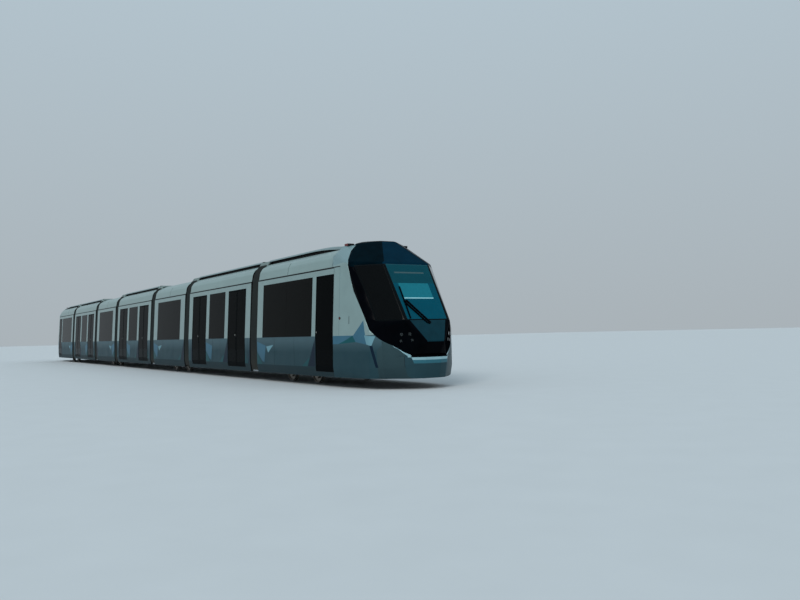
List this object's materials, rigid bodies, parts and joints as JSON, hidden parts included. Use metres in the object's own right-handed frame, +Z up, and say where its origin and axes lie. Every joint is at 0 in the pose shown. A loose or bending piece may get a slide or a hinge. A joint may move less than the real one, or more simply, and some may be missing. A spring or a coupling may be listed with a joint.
{
  "type": "articulated low-floor tram, 1:2 scale model",
  "caption": "Double-ended low-floor tram of hinged body sections on bogies, with silver flanks, dark glazing, a faceted dark nose and roof fairings; half-size model.",
  "frame": {"origin": "middle of the tram, on the plane under the wheel flanges", "axes": "+X forwards along the tram, +Y to its left, +Z up; the tram is double ended"},
  "size_m": [21.74, 1.325, 1.7574],
  "materials": {
    "silver_paint": "satin metallic silver",
    "roof_paint": "satin",
    "floor_grey": "matt",
    "window_glass": "tinted glossy",
    "door_glass": "tinted glossy",
    "mask_black": "gloss",
    "screen_glass": "tinted glossy",
    "apron_paint": "satin",
    "frame_grey": "matt",
    "wheel_steel": "worn",
    "bellows_rubber": "matt ribbed"
  },
  "bodies": {
    "m1": {"m1_body": "silver_paint", "m1_roof": "roof_paint", "m1_floor": "floor_grey", "m1_glazing": "window_glass", "m1_doors": "door_glass", "m1_cab": "silver_paint", "m1_mask": "mask_black", "m1_windscreen": "screen_glass", "m1_apron": "apron_paint", "m1_bogie": "frame_grey", "bellows_12": "bellows_rubber"},
    "m1_axle_a": {"m1_wheelset_a": "wheel_steel"},
    "m1_axle_b": {"m1_wheelset_b": "wheel_steel"},
    "m2": {"m2_body": "silver_paint", "m2_roof": "roof_paint", "m2_floor": "floor_grey", "m2_glazing": "window_glass", "m2_doors": "door_glass", "bellows_23": "bellows_rubber"},
    "m3": {"m3_body": "silver_paint", "m3_roof": "roof_paint", "m3_floor": "floor_grey", "m3_glazing": "window_glass", "m3_bogie": "frame_grey", "bellows_34": "bellows_rubber"},
    "m3_axle_a": {"m3_wheelset_a": "wheel_steel"},
    "m3_axle_b": {"m3_wheelset_b": "wheel_steel"},
    "m4": {"m4_body": "silver_paint", "m4_roof": "roof_paint", "m4_floor": "floor_grey", "m4_glazing": "window_glass", "m4_doors": "door_glass"},
    "m5": {"m5_body": "silver_paint", "m5_roof": "roof_paint", "m5_floor": "floor_grey", "m5_glazing": "window_glass", "m5_bogie": "frame_grey", "bellows_45": "bellows_rubber"},
    "m5_axle_a": {"m5_wheelset_a": "wheel_steel"},
    "m5_axle_b": {"m5_wheelset_b": "wheel_steel"},
    "m6": {"m6_body": "silver_paint", "m6_roof": "roof_paint", "m6_floor": "floor_grey", "m6_glazing": "window_glass", "m6_doors": "door_glass", "bellows_56": "bellows_rubber"},
    "m7": {"m7_body": "silver_paint", "m7_roof": "roof_paint", "m7_floor": "floor_grey", "m7_glazing": "window_glass", "m7_doors": "door_glass", "m7_cab": "silver_paint", "m7_mask": "mask_black", "m7_windscreen": "screen_glass", "m7_apron": "apron_paint", "m7_bogie": "frame_grey", "bellows_67": "bellows_rubber"},
    "m7_axle_a": {"m7_wheelset_a": "wheel_steel"},
    "m7_axle_b": {"m7_wheelset_b": "wheel_steel"}
  },
  "joints": [
    {"name": "pivot_34", "type": "hinge", "parent": "m4", "child": "m3", "pos_m": [1.61, 0, 0.163], "axis": [0, 0, 1], "range_deg": [-14, 14], "deforming": ["bellows_34"]},
    {"name": "pivot_23", "type": "hinge", "parent": "m3", "child": "m2", "pos_m": [3.93, 0, 0.163], "axis": [0, 0, 1], "range_deg": [-14, 14], "deforming": ["bellows_23"]},
    {"name": "pivot_12", "type": "hinge", "parent": "m2", "child": "m1", "pos_m": [7.15, 0, 0.163], "axis": [0, 0, 1], "range_deg": [-14, 14], "deforming": ["bellows_12"]},
    {"name": "pivot_45", "type": "hinge", "parent": "m4", "child": "m5", "pos_m": [-1.61, 0, 0.163], "axis": [0, 0, 1], "range_deg": [-14, 14], "deforming": ["bellows_45"]},
    {"name": "pivot_56", "type": "hinge", "parent": "m5", "child": "m6", "pos_m": [-3.93, 0, 0.163], "axis": [0, 0, 1], "range_deg": [-14, 14], "deforming": ["bellows_56"]},
    {"name": "pivot_67", "type": "hinge", "parent": "m6", "child": "m7", "pos_m": [-7.15, 0, 0.163], "axis": [0, 0, 1], "range_deg": [-14, 14], "deforming": ["bellows_67"]},
    {"name": "m1_roll_a", "type": "hinge", "parent": "m1", "child": "m1_axle_a", "pos_m": [8.69, 0, 0.1605], "axis": [0, 1, 0], "continuous": true},
    {"name": "m1_roll_b", "type": "hinge", "parent": "m1", "child": "m1_axle_b", "pos_m": [7.89, 0, 0.1605], "axis": [0, 1, 0], "continuous": true},
    {"name": "m3_roll_a", "type": "hinge", "parent": "m3", "child": "m3_axle_a", "pos_m": [3.17, 0, 0.1605], "axis": [0, 1, 0], "continuous": true},
    {"name": "m3_roll_b", "type": "hinge", "parent": "m3", "child": "m3_axle_b", "pos_m": [2.37, 0, 0.1605], "axis": [0, 1, 0], "continuous": true},
    {"name": "m5_roll_a", "type": "hinge", "parent": "m5", "child": "m5_axle_a", "pos_m": [-3.17, 0, 0.1605], "axis": [0, 1, 0], "continuous": true},
    {"name": "m5_roll_b", "type": "hinge", "parent": "m5", "child": "m5_axle_b", "pos_m": [-2.37, 0, 0.1605], "axis": [0, 1, 0], "continuous": true},
    {"name": "m7_roll_a", "type": "hinge", "parent": "m7", "child": "m7_axle_a", "pos_m": [-8.69, 0, 0.1605], "axis": [0, 1, 0], "continuous": true},
    {"name": "m7_roll_b", "type": "hinge", "parent": "m7", "child": "m7_axle_b", "pos_m": [-7.89, 0, 0.1605], "axis": [0, 1, 0], "continuous": true}
  ]
}
